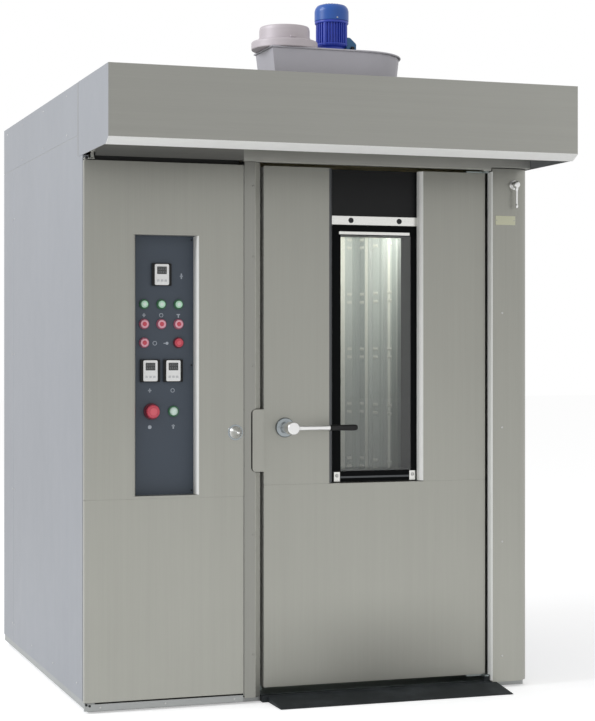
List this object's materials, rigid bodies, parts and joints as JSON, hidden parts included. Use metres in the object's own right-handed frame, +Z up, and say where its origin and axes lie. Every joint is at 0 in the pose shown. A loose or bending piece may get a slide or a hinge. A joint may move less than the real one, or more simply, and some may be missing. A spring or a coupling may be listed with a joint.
{
  "type": "rotating rack oven",
  "caption": "Floor-standing bakery rack oven with a glazed walk-in door, a turning rack hook, a control cabinet at the left and a steam hood with an extractor fan.",
  "frame": {"origin": "centre of the footprint on the floor, halfway between the front of the hood and the rear panel", "axes": "+X to the right as seen from the front, +Y from the door to the back, +Z up"},
  "size_m": [1.76, 2.049, 2.5623],
  "materials": {
    "front_steel": "vertical brushed stainless steel",
    "side_steel": "satin stainless steel",
    "liner_steel": "bright rolled stainless steel",
    "bright_steel": "polished stainless steel",
    "zinc_steel": "zinc coated",
    "dark_steel": "dull grey",
    "ramp_plate": "worn dark plate",
    "slate_panel": "fine textured paint",
    "black_panel": "gloss black enamel",
    "pane": "toughened glass",
    "seal_rubber": "heat resistant seal",
    "grip_black": "heat resistant plastic",
    "mineral_wool": "faced mineral wool slab",
    "fan_paint": "grey galvanised sheet",
    "collar_paint": "pale satin",
    "motor_blue": "satin enamel",
    "cowl_blue": "moulded plastic",
    "green_plastic": "moulded plastic",
    "red_plastic": "moulded plastic"
  },
  "bodies": {
    "oven_body": {"floor_slab": "zinc_steel", "base_rail": "zinc_steel", "threshold": "zinc_steel", "entry_ramp": "ramp_plate", "left_side_panel": "side_steel", "left_rear_panel": "side_steel", "left_top_panel": "side_steel", "right_side_panel": "side_steel", "rear_panel": "side_steel", "roof_panel": "side_steel", "header_panel": "front_steel", "center_column": "front_steel", "right_post": "front_steel", "latch_keeper": "front_steel", "hood": "front_steel", "fan_housing": "fan_paint", "fan_housing_lid": "fan_paint", "exhaust_collar": "collar_paint", "fan_motor": "motor_blue", "motor_cowl": "cowl_blue", "switchgear": "zinc_steel", "chamber_front_frame": "liner_steel", "chamber_liner": "liner_steel", "air_duct_panels": "liner_steel", "insulation_jacket": "mineral_wool", "chamber_lamp": "bright_steel", "rack_drive": "dark_steel", "circulation_motor": "dark_steel", "heater_bank": "dark_steel", "steam_generator": "dark_steel"},
    "oven_door": {"door_sheet_left": "front_steel", "door_sheet_right": "front_steel", "door_sheet_lower": "front_steel", "window_surround": "black_panel", "outer_glass": "pane", "door_back_plate": "liner_steel", "door_inner_pan": "liner_steel", "inner_glass": "pane", "door_seal": "seal_rubber", "handle_rosette": "bright_steel"},
    "door_handle": {"handle_lever": "bright_steel", "handle_grip": "grip_black"},
    "latch": {"latch_bolt": "bright_steel"},
    "cabinet_door": {"cabinet_door_upper": "front_steel", "cabinet_door_lower": "front_steel", "control_panel": "slate_panel"},
    "lock_knob": {"cabinet_lock": "bright_steel"},
    "start_1": {"start_button_1": "green_plastic"},
    "start_2": {"start_button_2": "green_plastic"},
    "start_3": {"start_button_3": "green_plastic"},
    "stop_1": {"stop_button_1": "red_plastic"},
    "stop_2": {"stop_button_2": "red_plastic"},
    "stop_3": {"stop_button_3": "red_plastic"},
    "steam": {"steam_button": "red_plastic"},
    "reset": {"reset_button": "red_plastic"},
    "emergency": {"emergency_stop": "red_plastic"},
    "damper_arm": {"damper_lever": "bright_steel"},
    "rack_carrier": {"rack_hook": "bright_steel"},
    "circulation_fan": {"circulation_impeller": "zinc_steel"},
    "hood_fan": {"hood_fan_impeller": "zinc_steel"}
  },
  "joints": [
    {"name": "oven_door_hinge", "type": "hinge", "parent": "oven_body", "child": "oven_door", "pos_m": [0.698, -0.6215, 1], "axis": [0, 0, 1], "range_deg": [0, 115]},
    {"name": "handle_turn", "type": "hinge", "parent": "oven_door", "child": "door_handle", "pos_m": [-0.116, -0.6, 1.01], "axis": [0, 1, 0], "range_deg": [0, 70]},
    {"name": "latch_slide", "type": "slide", "parent": "oven_door", "child": "latch", "axis": [1, 0, 0], "range_m": [0, 0.0075]},
    {"name": "cabinet_door_hinge", "type": "hinge", "parent": "oven_body", "child": "cabinet_door", "pos_m": [-0.871, -0.6245, 1], "axis": [0, 0, -1], "range_deg": [0, 105]},
    {"name": "lock_turn", "type": "hinge", "parent": "cabinet_door", "child": "lock_knob", "pos_m": [-0.3165, -0.63, 0.996], "axis": [0, 1, 0], "range_deg": [0, 90]},
    {"name": "start_1_push", "type": "slide", "parent": "cabinet_door", "child": "start_1", "axis": [0, 1, 0], "range_m": [0, 0.004], "stiffness_N_per_m": 400},
    {"name": "start_2_push", "type": "slide", "parent": "cabinet_door", "child": "start_2", "axis": [0, 1, 0], "range_m": [0, 0.004], "stiffness_N_per_m": 400},
    {"name": "start_3_push", "type": "slide", "parent": "cabinet_door", "child": "start_3", "axis": [0, 1, 0], "range_m": [0, 0.004], "stiffness_N_per_m": 400},
    {"name": "stop_1_push", "type": "slide", "parent": "cabinet_door", "child": "stop_1", "axis": [0, 1, 0], "range_m": [0, 0.004], "stiffness_N_per_m": 400},
    {"name": "stop_2_push", "type": "slide", "parent": "cabinet_door", "child": "stop_2", "axis": [0, 1, 0], "range_m": [0, 0.004], "stiffness_N_per_m": 400},
    {"name": "stop_3_push", "type": "slide", "parent": "cabinet_door", "child": "stop_3", "axis": [0, 1, 0], "range_m": [0, 0.004], "stiffness_N_per_m": 400},
    {"name": "steam_push", "type": "slide", "parent": "cabinet_door", "child": "steam", "axis": [0, 1, 0], "range_m": [0, 0.004], "stiffness_N_per_m": 400},
    {"name": "reset_push", "type": "slide", "parent": "cabinet_door", "child": "reset", "axis": [0, 1, 0], "range_m": [0, 0.004], "stiffness_N_per_m": 400},
    {"name": "emergency_push", "type": "slide", "parent": "cabinet_door", "child": "emergency", "axis": [0, 1, 0], "range_m": [0, 0.004], "stiffness_N_per_m": 400},
    {"name": "damper_turn", "type": "hinge", "parent": "oven_body", "child": "damper_arm", "pos_m": [0.806, -0.64, 1.934], "axis": [0, 1, 0], "range_deg": [0, 90]},
    {"name": "rack_turn", "type": "hinge", "parent": "oven_body", "child": "rack_carrier", "pos_m": [0.25, 0.19515, 1.9], "axis": [0, 0, 1], "continuous": true},
    {"name": "circulation_fan_turn", "type": "hinge", "parent": "oven_body", "child": "circulation_fan", "pos_m": [-0.5584, 0.19515, 1.9], "axis": [0, 0, 1], "continuous": true},
    {"name": "hood_fan_turn", "type": "hinge", "parent": "oven_body", "child": "hood_fan", "pos_m": [0.022, -0.7375, 2.33], "axis": [0, 0, 1], "continuous": true}
  ],
  "couplings": [
    {"joint": "latch_slide", "follows": "handle_turn", "m_per_rad": 0.0058}
  ]
}
